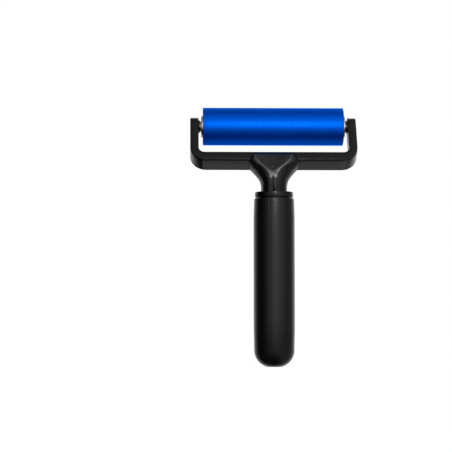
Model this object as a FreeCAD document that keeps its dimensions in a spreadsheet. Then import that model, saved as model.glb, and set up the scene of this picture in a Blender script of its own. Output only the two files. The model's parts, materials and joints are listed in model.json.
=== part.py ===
import FreeCAD, Part
import math
import os
import Sketcher
from FreeCAD import Placement, Rotation, Vector

# Hand brayer, in millimetres, +Z along the handle with the roller at the top.
# The origin is the centre of the flat on the butt of the grip. +X runs along the roller's axle.
# The yoke leans back from the handle towards +Y, so the roller sits behind the handle's axis.

# Driving dimensions: millimetres, and degrees for yoke_lean. Counts are whole numbers.
DIMENSIONS = {
    # Grip: a turned outline with a rounded butt and a blind bore from the top.
    "grip_height": 118.0,
    "grip_radius": 14.45,
    "grip_top_radius": 14.05,
    "grip_heel_radius": 14.1,
    "grip_lip": 0.6,
    "grip_taper_height": 104.0,
    "grip_belly_height": 30.0,
    "butt_flat_radius": 4.6,
    "butt_rounding": 11.8,
    "grip_bore_radius": 8.5,
    "grip_bore_depth": 86.0,
    # Collar and tang of the yoke moulding.
    "collar_radius": 13.45,
    "collar_thickness": 3.8,
    "collar_edge": 0.4,
    "reveal_radius": 11.5,
    "reveal_height": 0.7,
    "tang_length": 82.0,
    "tang_core_radius": 5.0,
    "tang_rib": 3.0,
    # Yoke strap: the crossbar and the two arms.
    "bar_height": 144.67,
    "yoke_lean": 32.0,
    "yoke_width": 118.1,
    "strap_width": 12.6,
    "arm_thickness": 5.95,
    "bar_thickness": 6.7,
    "axle_reach": 27.7,
    "corner_outer": 11.4,
    "corner_inner": 4.2,
    "strap_edge": 0.6,
    "boss_radius": 4.6,
    "boss_height": 0.9,
    "socket_depth": 3.4,
    # Roller.
    "cover_radius": 13.43,
    "cover_length": 100.0,
    "cover_edge": 0.3,
    "core_radius": 10.0,
    "core_bore_radius": 7.0,
    "bearing_seat_depth": 3.8,
    "axle_radius": 2.5,
    "axle_chamfer": 0.4,
    "spacer_radius": 3.8,
    # Deep-groove ball bearing, 5 x 16 x 5.
    "bearing_radius": 8.0,
    "bearing_width": 5.0,
    "bearing_edge": 0.3,
    "outer_land_radius": 6.3,
    "inner_land_radius": 4.2,
    "shield_seat_radius": 6.9,
    "shield_seat_depth": 0.5,
    "shield_bore_radius": 4.35,
    "shield_thickness": 0.3,
    "shield_step": 0.15,
    "shield_step_radius": 5.2,
    "ball_pitch_radius": 5.25,
    "ball_radius": 1.389,
    "groove_clearance": 0.03,
    "pocket_clearance": 0.06,
    "cage_sheet": 0.3,
    "cage_inner_radius": 4.75,
    "cage_outer_radius": 5.75,
    "ball_count": 7,
}

ALONG_X = Rotation(Vector(0, 1, 0), 90)
ALONG_MINUS_X = Rotation(Vector(0, 1, 0), -90)
OVERSHOOT = 2.0
TOLERANCE = 0.01
# A cut that takes away less than this volume has gone the wrong way.
LEAST_CUT = 0.1

doc = FreeCAD.newDocument("hand_brayer")


def make_sheet():
    """Put the driving dimensions in a spreadsheet, one alias for each."""
    sheet = doc.addObject("Spreadsheet::Sheet", "dims")
    for row, (name, number) in enumerate(DIMENSIONS.items(), start=1):
        sheet.set("A%d" % row, name)
        sheet.set("B%d" % row, str(number))
        sheet.setAlias("B%d" % row, name)
    doc.recompute()
    return sheet


def size(name):
    """A driving dimension, read back from the sheet."""
    return float(sheet.get(name))


def total(terms):
    """The value of names and numbers joined by + and -, such as 'cover_radius - 1'."""
    value = 0.0
    sign = 1
    for word in terms.split():
        if word in "+-":
            sign = 1 if word == "+" else -1
        elif word in DIMENSIONS:
            value += sign * size(word)
        else:
            value += sign * float(word)
    return value


def formula(terms):
    """The same terms as an expression on the sheet's cells."""
    return " ".join("dims." + word if word in DIMENSIONS else word for word in terms.split())


def new_body(label, placement=None):
    body = doc.addObject("PartDesign::Body", label)
    body.Label = label
    if placement:
        body.Placement = placement
    return body


def new_sketch(body, role, name):
    """A sketch on one of the body's own origin planes."""
    sketch = body.newObject("Sketcher::SketchObject", name)
    plane = next(item for item in body.Origin.OriginFeatures if item.Role == role)
    sketch.AttachmentSupport = [(plane, "")]
    sketch.MapMode = "FlatFace"
    return sketch


def fix_point(sketch, geometry, end, across, up):
    """Hold one end of an edge at (across, up), each bound to the sheet or kept on an axis."""
    for kind, terms, axis in (("DistanceX", across, -2), ("DistanceY", up, -1)):
        if terms == "0":
            sketch.addConstraint(Sketcher.Constraint("PointOnObject", geometry, end, axis))
            continue
        index = sketch.addConstraint(Sketcher.Constraint(kind, -1, 1, geometry, end, total(terms)))
        sketch.setExpression("Constraints[%d]" % index, formula(terms))


def draw_polygon(sketch, corners):
    """A closed outline of straight edges through corners given as pairs of terms."""
    points = [Vector(total(across), total(up), 0) for across, up in corners]
    for start, finish in zip(points, points[1:] + points[:1]):
        sketch.addGeometry(Part.LineSegment(start, finish), False)
    count = len(points)
    for index in range(count):
        sketch.addConstraint(Sketcher.Constraint("Coincident", index, 2, (index + 1) % count, 1))
    for index, (across, up) in enumerate(corners):
        fix_point(sketch, index, 1, across, up)


def draw_circle(sketch, radius):
    """A circle about the sketch's origin."""
    index = sketch.addGeometry(Part.Circle(Vector(0, 0, 0), Vector(0, 0, 1), total(radius)), False)
    fix_point(sketch, index, 3, "0", "0")
    datum = sketch.addConstraint(Sketcher.Constraint("Radius", index, total(radius)))
    sketch.setExpression("Constraints[%d]" % datum, formula(radius))


def revolve(body, sketch, feature="PartDesign::Revolution"):
    """Turn a sketch drawn on the XZ plane a full circle about the body's Z axis."""
    turned = body.newObject(feature, body.Label + "_" + feature.split("::")[1].lower())
    turned.Profile = sketch
    turned.ReferenceAxis = (sketch, ["V_Axis"])
    turned.Angle = 360
    doc.recompute()
    return turned


def turned_body(label, placement, corners):
    """A body of revolution about its own Z axis, from (radius, height) corners."""
    body = new_body(label, placement)
    sketch = new_sketch(body, "XZ_Plane", label + "_profile")
    draw_polygon(sketch, corners)
    revolve(body, sketch)
    return body


def matching_edges(shape, wanted):
    """Names of the edges whose ends and middle all satisfy wanted(point)."""
    names = []
    for number, edge in enumerate(shape.Edges, start=1):
        middle = edge.valueAt((edge.FirstParameter + edge.LastParameter) / 2)
        points = [vertex.Point for vertex in edge.Vertexes] + [middle]
        if all(wanted(point) for point in points):
            names.append("Edge%d" % number)
    return names


def round_edges(body, radius, wanted, feature="PartDesign::Fillet"):
    """Fillet or chamfer the edges of the body's tip that satisfy wanted."""
    base = body.Tip
    names = matching_edges(base.Shape, wanted)
    rounding = body.newObject(feature, body.Label + "_" + radius)
    rounding.Base = (base, names)
    quantity = "Radius" if feature.endswith("Fillet") else "Size"
    setattr(rounding, quantity, size(radius))
    rounding.setExpression(quantity, formula(radius))
    doc.recompute()
    return rounding


def near(value, target):
    return abs(value - target) < TOLERANCE


def cylinder(name, radius, height, placement):
    """A Part cylinder with radius and height bound to the sheet."""
    solid = doc.addObject("Part::Cylinder", name)
    solid.Radius = total(radius)
    solid.Height = total(height)
    solid.setExpression("Radius", formula(radius))
    solid.setExpression("Height", formula(height))
    solid.Placement = placement
    return solid


def centred_box(name, length, width, height, placement):
    """A Part box centred on the placement in X and Y, standing on it in Z."""
    solid = doc.addObject("Part::Box", name)
    for side, terms in (("Length", length), ("Width", width), ("Height", height)):
        setattr(solid, side, total(terms))
        solid.setExpression(side, formula(terms))
    offset = Vector(-total(length) / 2, -total(width) / 2, 0)
    solid.Placement = placement.multiply(Placement(offset, Rotation()))
    return solid


def join(name, shapes):
    fused = doc.addObject("Part::MultiFuse", name)
    fused.Shapes = shapes
    return fused


def take_away(name, solid, tool):
    cut = doc.addObject("Part::Cut", name)
    cut.Base = solid
    cut.Tool = tool
    return cut


def overlap(name, solid, limit):
    common = doc.addObject("Part::Common", name)
    common.Base = solid
    common.Tool = limit
    return common


def grip():
    """Handle sleeve: turned outline, round butt with a small flat, blind bore for the tang."""
    body = new_body("grip")
    sketch = new_sketch(body, "XZ_Plane", "grip_outline")
    heel = total("grip_heel_radius")
    rounding = total("butt_rounding")
    flat = total("butt_flat_radius")
    centre_out = heel - rounding
    centre_up = math.sqrt(rounding ** 2 - (flat - centre_out) ** 2)
    top = total("grip_height")
    lip = total("grip_lip")
    outline = [
        Vector(heel, centre_up, 0),
        Vector(total("grip_radius"), total("grip_belly_height"), 0),
        Vector(total("grip_radius"), total("grip_taper_height"), 0),
        Vector(total("grip_top_radius"), top - lip, 0),
        Vector(total("grip_top_radius") - lip, top, 0),
        Vector(0, top, 0),
        Vector(0, 0, 0),
        Vector(flat, 0, 0),
    ]
    for start, finish in zip(outline, outline[1:]):
        sketch.addGeometry(Part.LineSegment(start, finish), False)
    centre = Vector(centre_out, centre_up, 0)
    start_angle = math.atan2(-centre_up, flat - centre_out)
    circle = Part.Circle(centre, Vector(0, 0, 1), rounding)
    arc = sketch.addGeometry(Part.ArcOfCircle(circle, start_angle, 0), False)
    last = arc - 1
    for index in range(last):
        sketch.addConstraint(Sketcher.Constraint("Coincident", index, 2, index + 1, 1))
    sketch.addConstraint(Sketcher.Constraint("Coincident", last, 2, arc, 1))
    sketch.addConstraint(Sketcher.Constraint("Coincident", arc, 2, 0, 1))
    fix_point(sketch, 1, 1, "grip_radius", "grip_belly_height")
    fix_point(sketch, 2, 1, "grip_radius", "grip_taper_height")
    fix_point(sketch, 3, 1, "grip_top_radius", "grip_height - grip_lip")
    fix_point(sketch, 4, 1, "grip_top_radius - grip_lip", "grip_height")
    fix_point(sketch, 5, 1, "0", "grip_height")
    fix_point(sketch, 6, 1, "0", "0")
    fix_point(sketch, last, 2, "butt_flat_radius", "0")
    radius = sketch.addConstraint(Sketcher.Constraint("Radius", arc, rounding))
    sketch.setExpression("Constraints[%d]" % radius, formula("butt_rounding"))
    across = sketch.addConstraint(Sketcher.Constraint("DistanceX", -1, 1, arc, 3, centre_out))
    sketch.setExpression("Constraints[%d]" % across, formula("grip_heel_radius - butt_rounding"))
    level = Sketcher.Constraint("Horizontal", arc, 3, arc, 2)
    sketch.addConstraint(level)
    revolve(body, sketch)

    bore = new_sketch(body, "XZ_Plane", "grip_bore")
    floor = "grip_height - grip_bore_depth"
    mouth = "grip_height + %g" % OVERSHOOT
    draw_polygon(bore, [("0", floor), ("grip_bore_radius", floor), ("grip_bore_radius", mouth), ("0", mouth)])
    revolve(body, bore, "PartDesign::Groove")
    return body


def bar_centre():
    return Vector(0, 0, size("bar_height"))


def yoke_frame():
    """Placement of the strap: its own Z runs along the arms, its own -Y is the front."""
    return Placement(bar_centre(), Rotation(Vector(1, 0, 0), -size("yoke_lean")))


def axle_centre():
    reach = size("axle_reach") + size("bar_thickness") / 2
    return yoke_frame().multVec(Vector(0, 0, reach))


def arm_inner_face():
    return size("yoke_width") / 2 - size("arm_thickness")


def strap():
    """Crossbar and arms: a U-shaped outline as deep as the strap is wide, with round arm ends."""
    body = new_body("strap", yoke_frame())
    half_width = size("yoke_width") / 2
    half_bar = size("bar_thickness") / 2
    half_strap = size("strap_width") / 2
    inner = arm_inner_face()
    axle_up = half_bar + size("axle_reach")
    tip = axle_up + half_strap
    outline = new_sketch(body, "XZ_Plane", "strap_outline")
    corners = [
        (-half_width, -half_bar), (half_width, -half_bar), (half_width, tip), (inner, tip),
        (inner, half_bar), (-inner, half_bar), (-inner, tip), (-half_width, tip),
    ]
    points = [Vector(across, up, 0) for across, up in corners]
    for start, finish in zip(points, points[1:] + points[:1]):
        outline.addGeometry(Part.LineSegment(start, finish), False)
    for index in range(len(points)):
        outline.addConstraint(Sketcher.Constraint("Coincident", index, 2, (index + 1) % len(points), 1))
    across_terms = ["dims.yoke_width / 2", "(dims.yoke_width / 2 - dims.arm_thickness)"]
    bottom = "dims.bar_thickness / 2"
    top = "(dims.bar_thickness + dims.strap_width) / 2 + dims.axle_reach"
    bindings = [
        ("-" + across_terms[0], "-" + bottom), (across_terms[0], "-" + bottom), (across_terms[0], top),
        (across_terms[1], top), (across_terms[1], bottom), ("-" + across_terms[1], bottom),
        ("-" + across_terms[1], top), ("-" + across_terms[0], top),
    ]
    for index, ((across, up), (across_text, up_text)) in enumerate(zip(corners, bindings)):
        datum = outline.addConstraint(Sketcher.Constraint("DistanceX", -1, 1, index, 1, across))
        outline.setExpression("Constraints[%d]" % datum, across_text)
        datum = outline.addConstraint(Sketcher.Constraint("DistanceY", -1, 1, index, 1, up))
        outline.setExpression("Constraints[%d]" % datum, up_text)
    pad = body.newObject("PartDesign::Pad", "strap_pad")
    pad.Profile = outline
    pad.Midplane = True
    pad.Length = size("strap_width")
    pad.setExpression("Length", "dims.strap_width")
    doc.recompute()

    round_edges(body, "corner_outer", lambda p: near(abs(p.x), half_width) and near(p.z, -half_bar))
    round_edges(body, "corner_inner", lambda p: near(abs(p.x), inner) and near(p.z, half_bar))

    ends = new_sketch(body, "YZ_Plane", "arm_ends")
    outside = half_strap + OVERSHOOT
    around = [
        Vector(half_strap, axle_up, 0), Vector(outside, axle_up, 0), Vector(outside, tip + OVERSHOOT, 0),
        Vector(-outside, tip + OVERSHOOT, 0), Vector(-outside, axle_up, 0), Vector(-half_strap, axle_up, 0),
    ]
    for start, finish in zip(around, around[1:]):
        ends.addGeometry(Part.LineSegment(start, finish), False)
    circle = Part.Circle(Vector(0, axle_up, 0), Vector(0, 0, 1), half_strap)
    arc = ends.addGeometry(Part.ArcOfCircle(circle, 0, math.pi), False)
    for index in range(arc - 1):
        ends.addConstraint(Sketcher.Constraint("Coincident", index, 2, index + 1, 1))
    ends.addConstraint(Sketcher.Constraint("Coincident", arc, 1, 0, 1))
    ends.addConstraint(Sketcher.Constraint("Coincident", arc, 2, arc - 1, 2))
    ends.addConstraint(Sketcher.Constraint("PointOnObject", arc, 3, -2))
    datum = ends.addConstraint(Sketcher.Constraint("Radius", arc, half_strap))
    ends.setExpression("Constraints[%d]" % datum, "dims.strap_width / 2")
    datum = ends.addConstraint(Sketcher.Constraint("DistanceY", -1, 1, arc, 3, axle_up))
    ends.setExpression("Constraints[%d]" % datum, "dims.bar_thickness / 2 + dims.axle_reach")
    before = body.Tip.Shape.Volume
    pocket = body.newObject("PartDesign::Pocket", "arm_ends_pocket")
    pocket.Profile = ends
    pocket.Type = "ThroughAll"
    pocket.Midplane = True
    doc.recompute()
    if not pocket.Shape.Volume < before - LEAST_CUT:
        raise RuntimeError("the arm ends were not rounded")
    round_edges(body, "strap_edge", on_strap_rim(half_strap, axle_up))
    return body


def on_strap_rim(half_strap, axle_up):
    """True on the strap's front and back edges and round its arm tips."""
    def wanted(point):
        if near(abs(point.y), half_strap) and point.z <= axle_up + TOLERANCE:
            return True
        return point.z >= axle_up - TOLERANCE and near(math.hypot(point.y, point.z - axle_up), half_strap)
    return wanted


def ease(value):
    """A smooth step from 0 to 1."""
    value = min(1.0, max(0.0, value))
    return value * value * (3 - 2 * value)


# The neck, section by section. Each table pairs a height above the butt with a length in that section:
# half-width at its widest, how far behind the axis that is, front depth on the two ridges, back depth,
# half the distance between the ridges, and front depth in the shallow valley between them.
NECK_BASE = 122.5
NECK_TOP = 151.0
NECK_LEVELS = 13
NECK_WIDTH = [(122.5, 9.1), (127.0, 9.3), (129.2, 9.7), (131.3, 10.55), (133.4, 12.0), (135.5, 13.7),
              (137.6, 15.6), (139.7, 17.7), (141.8, 18.5), (145.2, 19.0), (147.4, 16.7), (151.0, 14.6)]
NECK_WIDEST = [(122.5, 0.0), (127.0, 0.2), (131.3, 2.2), (135.5, 5.2), (137.6, 6.2), (141.0, 5.0), (151.0, 1.5)]
NECK_FRONT = [(122.5, 9.2), (125.0, 9.65), (128.0, 10.2), (130.5, 10.5), (132.0, 10.56), (133.5, 10.46),
              (136.0, 10.1), (138.5, 9.78), (141.0, 9.5), (145.0, 8.95), (148.6, 8.3), (151.0, 7.8)]
NECK_BACK = [(122.5, 9.1), (130.0, 9.2), (134.0, 8.9), (137.6, 8.0), (140.6, 6.5), (151.0, 3.5)]
NECK_RIDGE = [(122.5, 2.0), (134.5, 2.2), (136.7, 3.2), (139.5, 5.2), (141.5, 7.6), (144.9, 10.4),
              (148.6, 12.8), (151.0, 13.2)]
NECK_VALLEY = [(122.5, 9.2), (128.0, 10.2), (130.5, 10.5), (133.5, 10.46), (136.0, 10.1), (138.5, 9.65),
               (140.3, 9.15), (141.9, 8.6), (145.4, 7.6), (148.6, 6.5), (151.0, 5.7)]
# The valley is flat out to this share of the way to the ridge.
VALLEY_FLAT = 0.4
ROUND_POWER = 2.0
FULL_POWER = 3.0
FULL_FROM = 139.0
FULL_AT = 146.0
ARC_POINTS = 8
# Above the valley's lip the neck slopes back into the strap, and ends inside it.
LIP_DEPTH = 6.5
LIP_HEIGHT = 148.5
SHOULDER_ANGLE = 29.0
NECK_END = 2.75


def between(table, height):
    """Straight-line reading of a (height, value) table."""
    for (low, first), (high, second) in zip(table, table[1:]):
        if height <= high:
            return first + (second - first) * (height - low) / (high - low)
    return table[-1][1]


def neck_section(height):
    """Closed outline of the neck at one height: round at the collar, widest towards its back higher up."""
    width, widest = between(NECK_WIDTH, height), between(NECK_WIDEST, height)
    front, back = between(NECK_FRONT, height), between(NECK_BACK, height)
    ridge = between(NECK_RIDGE, height)
    valley = min(front, between(NECK_VALLEY, height))
    power = ROUND_POWER + (FULL_POWER - ROUND_POWER) * ease((height - FULL_FROM) / (FULL_AT - FULL_FROM))
    side = [(ridge * VALLEY_FLAT, -valley), (ridge * (1 + VALLEY_FLAT) / 2, -(valley + front) / 2), (ridge, -front)]
    for step in range(1, ARC_POINTS + 1):
        angle = math.pi / 2 * step / ARC_POINTS
        across = ridge + (width - ridge) * math.sin(angle) ** (2 / power)
        side.append((across, widest - (front + widest) * math.cos(angle) ** (2 / power)))
    for step in range(1, ARC_POINTS):
        angle = math.pi / 2 * step / ARC_POINTS
        across = width * math.cos(angle) ** (2 / FULL_POWER)
        side.append((across, widest + (back - widest) * math.sin(angle) ** (2 / FULL_POWER)))
    outline = [(0.0, -valley)] + side + [(0.0, back)] + [(-x, y) for x, y in reversed(side)]
    curve = Part.BSplineCurve()
    curve.interpolate(Points=[Vector(x, y, height) for x, y in outline], PeriodicFlag=True)
    return Part.Wire([curve.toShape()])


def neck():
    """The flared neck: cut off square to the arms inside the crossbar, with a sloped shoulder in front."""
    flare = doc.addObject("Part::Feature", "neck_flare")
    heights = [NECK_BASE + (NECK_TOP - NECK_BASE) * step / (NECK_LEVELS - 1) for step in range(NECK_LEVELS)]
    flare.Shape = Part.makeLoft([neck_section(height) for height in heights], True, False)
    limit = "yoke_width"
    below = Placement(yoke_frame().multVec(Vector(0, 0, NECK_END - size(limit))), yoke_frame().Rotation)
    inside = overlap("neck_below_end", flare, centred_box("neck_limit", limit, limit, limit, below))
    slope = Placement(Vector(0, -LIP_DEPTH, LIP_HEIGHT), Rotation(Vector(1, 0, 0), SHOULDER_ANGLE))
    return take_away("neck", inside, centred_box("neck_shoulder", limit, limit, limit, slope))


def collar():
    """Disc above the grip, standing on a smaller step that leaves a dark reveal line."""
    base = size("grip_height") + size("reveal_height")
    disc = cylinder("collar_disc", "collar_radius", "collar_thickness", Placement(Vector(0, 0, base), Rotation()))
    doc.recompute()
    edged = doc.addObject("Part::Chamfer", "collar")
    edged.Base = disc
    chamfer = size("collar_edge")
    rims = [number for number, edge in enumerate(disc.Shape.Edges, start=1) if edge.Closed]
    edged.Edges = [(number, chamfer, chamfer) for number in rims]
    return edged


def tang():
    """Cross-shaped tang inside the grip, trimmed to the bore."""
    low = size("grip_height") - size("tang_length")
    foot = Placement(Vector(0, 0, low), Rotation())
    across = "grip_bore_radius + grip_bore_radius"
    rib_x = centred_box("tang_rib_x", across, "tang_rib", "tang_length", foot)
    rib_y = centred_box("tang_rib_y", "tang_rib", across, "tang_length", foot)
    middle = cylinder("tang_core", "tang_core_radius", "tang_length", foot)
    ribs = join("tang_ribs", [rib_x, rib_y, middle])
    limit = cylinder("tang_limit", "grip_bore_radius", "tang_length", foot)
    return overlap("tang", ribs, limit)


def yoke():
    """One moulding: strap, neck, collar, tang and the bosses with the blind axle sockets."""
    top_of_grip = Placement(Vector(0, 0, size("grip_height")), Rotation())
    reveal = cylinder("reveal_step", "reveal_radius", "reveal_height", top_of_grip)
    bosses = []
    for name, side, turn in (("left_boss", -1, ALONG_MINUS_X), ("right_boss", 1, ALONG_X)):
        start = axle_centre() + Vector(side * (arm_inner_face() - size("boss_height")), 0, 0)
        bosses.append(cylinder(name, "boss_radius", "boss_height", Placement(start, turn)))
    solid = join("yoke_solid", [strap(), neck(), collar(), reveal, tang()] + bosses)
    reach = arm_inner_face() + size("socket_depth")
    start = axle_centre() - Vector(reach, 0, 0)
    sockets = cylinder("axle_sockets", "axle_radius", "yoke_width", Placement(start, ALONG_X))
    sockets.setExpression("Height", "dims.yoke_width - 2 * dims.arm_thickness + 2 * dims.socket_depth")
    return take_away("yoke", solid, sockets)


def roller_cover():
    """Rubber sleeve with lightly rounded ends."""
    end = "cover_length"
    body = turned_body("roller_cover", Placement(roller_end(-1), ALONG_X), [
        ("core_radius", "0"), ("cover_radius", "0"), ("cover_radius", end), ("core_radius", end)])
    rim = size("cover_radius")
    round_edges(body, "cover_edge", lambda p: near(math.hypot(p.x, p.y), rim) and
                (near(p.z, 0) or near(p.z, total(end))))
    return body


def roller_end(side):
    return axle_centre() + Vector(side * size("cover_length") / 2, 0, 0)


def roller_core():
    """Tube that carries the sleeve, with a bearing seat at each end."""
    far = "cover_length"
    far_seat = "cover_length - bearing_seat_depth"
    return turned_body("roller_core", Placement(roller_end(-1), ALONG_X), [
        ("core_bore_radius", "bearing_seat_depth"), ("bearing_radius", "bearing_seat_depth"),
        ("bearing_radius", "0"), ("core_radius", "0"), ("core_radius", far), ("bearing_radius", far),
        ("bearing_radius", far_seat), ("core_bore_radius", far_seat)])


def axle():
    """Plain shaft from socket to socket, with chamfered ends."""
    reach = arm_inner_face() + size("socket_depth")
    body = new_body("axle", Placement(axle_centre() - Vector(reach, 0, 0), ALONG_X))
    sketch = new_sketch(body, "XY_Plane", "axle_section")
    draw_circle(sketch, "axle_radius")
    pad = body.newObject("PartDesign::Pad", "axle_pad")
    pad.Profile = sketch
    pad.Length = 2 * reach
    pad.setExpression("Length", "dims.yoke_width - 2 * dims.arm_thickness + 2 * dims.socket_depth")
    doc.recompute()
    round_edges(body, "axle_chamfer", lambda p: near(p.z, 0) or near(p.z, 2 * reach), "PartDesign::Chamfer")
    return body


def bearing_place(side):
    """Placement of a bearing's middle, its own +Z pointing out of the roller."""
    inboard = size("cover_length") / 2 - size("bearing_seat_depth")
    middle = inboard + size("bearing_width") / 2
    turn = ALONG_X if side > 0 else ALONG_MINUS_X
    return Placement(axle_centre() + Vector(side * middle, 0, 0), turn)


def spacer(label, side):
    """Small ring between the bearing's inner ring and the boss on the arm."""
    start = bearing_place(side).multVec(Vector(0, 0, size("bearing_width") / 2))
    boss_face = arm_inner_face() - size("boss_height")
    length = boss_face - abs(start.x)
    body = new_body(label, Placement(start, bearing_place(side).Rotation))
    sketch = new_sketch(body, "XY_Plane", label + "_section")
    draw_circle(sketch, "spacer_radius")
    draw_circle(sketch, "axle_radius")
    pad = body.newObject("PartDesign::Pad", label + "_pad")
    pad.Profile = sketch
    pad.Length = length
    pad.setExpression("Length", "dims.yoke_width / 2 - dims.arm_thickness - dims.boss_height"
                      " - dims.cover_length / 2 + dims.bearing_seat_depth - dims.bearing_width")
    doc.recompute()
    return body


def ring_place(side):
    """Placement of a bearing's inboard face, with +Z pointing out of the roller."""
    place = bearing_place(side)
    start = place.multVec(Vector(0, 0, -size("bearing_width") / 2))
    return Placement(start, place.Rotation)


def cut_track(body):
    """Cut the ball track half way along a bearing ring that starts at its own Z = 0."""
    track = new_sketch(body, "XZ_Plane", body.Label + "_track")
    centre = Vector(size("ball_pitch_radius"), size("bearing_width") / 2, 0)
    radius = total("ball_radius + groove_clearance")
    circle = track.addGeometry(Part.Circle(centre, Vector(0, 0, 1), radius), False)
    for kind, value, text in (
            ("DistanceX", centre.x, "dims.ball_pitch_radius"),
            ("DistanceY", centre.y, "dims.bearing_width / 2")):
        datum = track.addConstraint(Sketcher.Constraint(kind, -1, 1, circle, 3, value))
        track.setExpression("Constraints[%d]" % datum, text)
    datum = track.addConstraint(Sketcher.Constraint("Radius", circle, radius))
    track.setExpression("Constraints[%d]" % datum, formula("ball_radius + groove_clearance"))
    before = body.Tip.Shape.Volume
    groove = revolve(body, track, "PartDesign::Groove")
    if not groove.Shape.Volume < before - LEAST_CUT:
        raise RuntimeError("no track was cut in " + body.Label)


def outer_ring(label, side):
    """Outer bearing ring, with a ball track and a shield seat at each face."""
    high_seat = "bearing_width - shield_seat_depth"
    body = turned_body(label, ring_place(side), [
        ("outer_land_radius", "shield_seat_depth"), ("shield_seat_radius", "shield_seat_depth"),
        ("shield_seat_radius", "0"), ("bearing_radius", "0"), ("bearing_radius", "bearing_width"),
        ("shield_seat_radius", "bearing_width"), ("shield_seat_radius", high_seat),
        ("outer_land_radius", high_seat)])
    rim = size("bearing_radius")
    width = size("bearing_width")
    round_edges(body, "bearing_edge", lambda p: near(math.hypot(p.x, p.y), rim) and
                (near(p.z, 0) or near(p.z, width)))
    cut_track(body)
    return body


def inner_ring(label, side):
    """Inner bearing ring, seated on the axle."""
    body = turned_body(label, ring_place(side), [
        ("axle_radius", "0"), ("inner_land_radius", "0"), ("inner_land_radius", "bearing_width"),
        ("axle_radius", "bearing_width")])
    cut_track(body)
    return body


def shield(label, side, faces_out):
    """Thin pressed ring in the outer ring's seat, its middle stepped in towards the balls."""
    place = bearing_place(side)
    if not faces_out:
        place = place.multiply(Placement(Vector(0, 0, 0), Rotation(Vector(1, 0, 0), 180)))
    seat = size("bearing_width") / 2 - size("shield_seat_depth")
    start = Placement(place.multVec(Vector(0, 0, seat)), place.Rotation)
    step_in = "0 - shield_step"
    return turned_body(label, start, [
        ("shield_bore_radius", step_in), ("shield_step_radius", step_in),
        ("shield_step_radius + shield_thickness", "0"), ("shield_seat_radius", "0"),
        ("shield_seat_radius", "shield_thickness"), ("shield_step_radius + shield_thickness", "shield_thickness"),
        ("shield_step_radius", "shield_thickness - shield_step"),
        ("shield_bore_radius", "shield_thickness - shield_step")])


def ball_centres():
    count = int(size("ball_count"))
    pitch = size("ball_pitch_radius")
    angles = [2 * math.pi * index / count for index in range(count)]
    return [Vector(pitch * math.cos(angle), pitch * math.sin(angle), 0) for angle in angles]


def balls(label, side):
    """The ring of balls, each a solid of its own."""
    group = doc.addObject("Part::Feature", label)
    radius = size("ball_radius")
    group.Shape = Part.makeCompound([Part.makeSphere(radius, centre) for centre in ball_centres()])
    group.Placement = bearing_place(side)
    return group


def cage_half(label, side, faces_out):
    """One pressed half of the cage: a flat ribbon with a rounded pocket over each ball."""
    inner = size("cage_inner_radius")
    outer = size("cage_outer_radius")
    sheet_metal = size("cage_sheet")
    pocket = size("ball_radius") + size("pocket_clearance")
    crown = pocket + sheet_metal
    ribbon = Part.makeCylinder(outer, sheet_metal).cut(Part.makeCylinder(inner, sheet_metal))
    band = Part.makeCylinder(outer, crown).cut(Part.makeCylinder(inner, crown))
    for centre in ball_centres():
        ribbon = ribbon.fuse(Part.makeSphere(crown, centre).common(band))
    for centre in ball_centres():
        ribbon = ribbon.cut(Part.makeSphere(pocket, centre))
    half = doc.addObject("Part::Feature", label)
    half.Shape = ribbon
    place = bearing_place(side)
    if not faces_out:
        place = place.multiply(Placement(Vector(0, 0, 0), Rotation(Vector(1, 0, 0), 180)))
    half.Placement = place
    return half


def bearing(prefix, side):
    """All the pieces of one shielded ball bearing."""
    return [
        outer_ring(prefix + "_bearing_outer_ring", side),
        inner_ring(prefix + "_bearing_inner_ring", side),
        balls(prefix + "_bearing_balls", side),
        cage_half(prefix + "_bearing_cage_outboard", side, True),
        cage_half(prefix + "_bearing_cage_inboard", side, False),
        shield(prefix + "_bearing_shield_outboard", side, True),
        shield(prefix + "_bearing_shield_inboard", side, False),
    ]


def check(parts):
    """Stop if any object failed to recompute or any piece has no valid shape."""
    for item in doc.Objects:
        if "Invalid" in item.State or "Error" in item.State:
            raise RuntimeError("%s failed: %s" % (item.Name, item.State))
    for piece in parts:
        if piece.Shape.isNull() or not piece.Shape.isValid():
            raise RuntimeError(piece.Label + " has no valid shape")


sheet = make_sheet()
parts = [grip(), yoke(), roller_cover(), roller_core(), axle()]
for prefix, side in (("left", -1), ("right", 1)):
    parts.append(spacer(prefix + "_spacer", side))
    parts.extend(bearing(prefix, side))
doc.recompute()
check(parts)
os.makedirs("parts", exist_ok=True)
for piece in parts:
    piece.Shape.exportStep("parts/%s.step" % piece.Label)
    print("%-34s %8.1f mm3  %d solid(s)" % (piece.Label, piece.Shape.Volume, len(piece.Shape.Solids)))
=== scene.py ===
import json
import math

import bmesh
import bpy
from mathutils import Euler, Matrix, Vector


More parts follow.
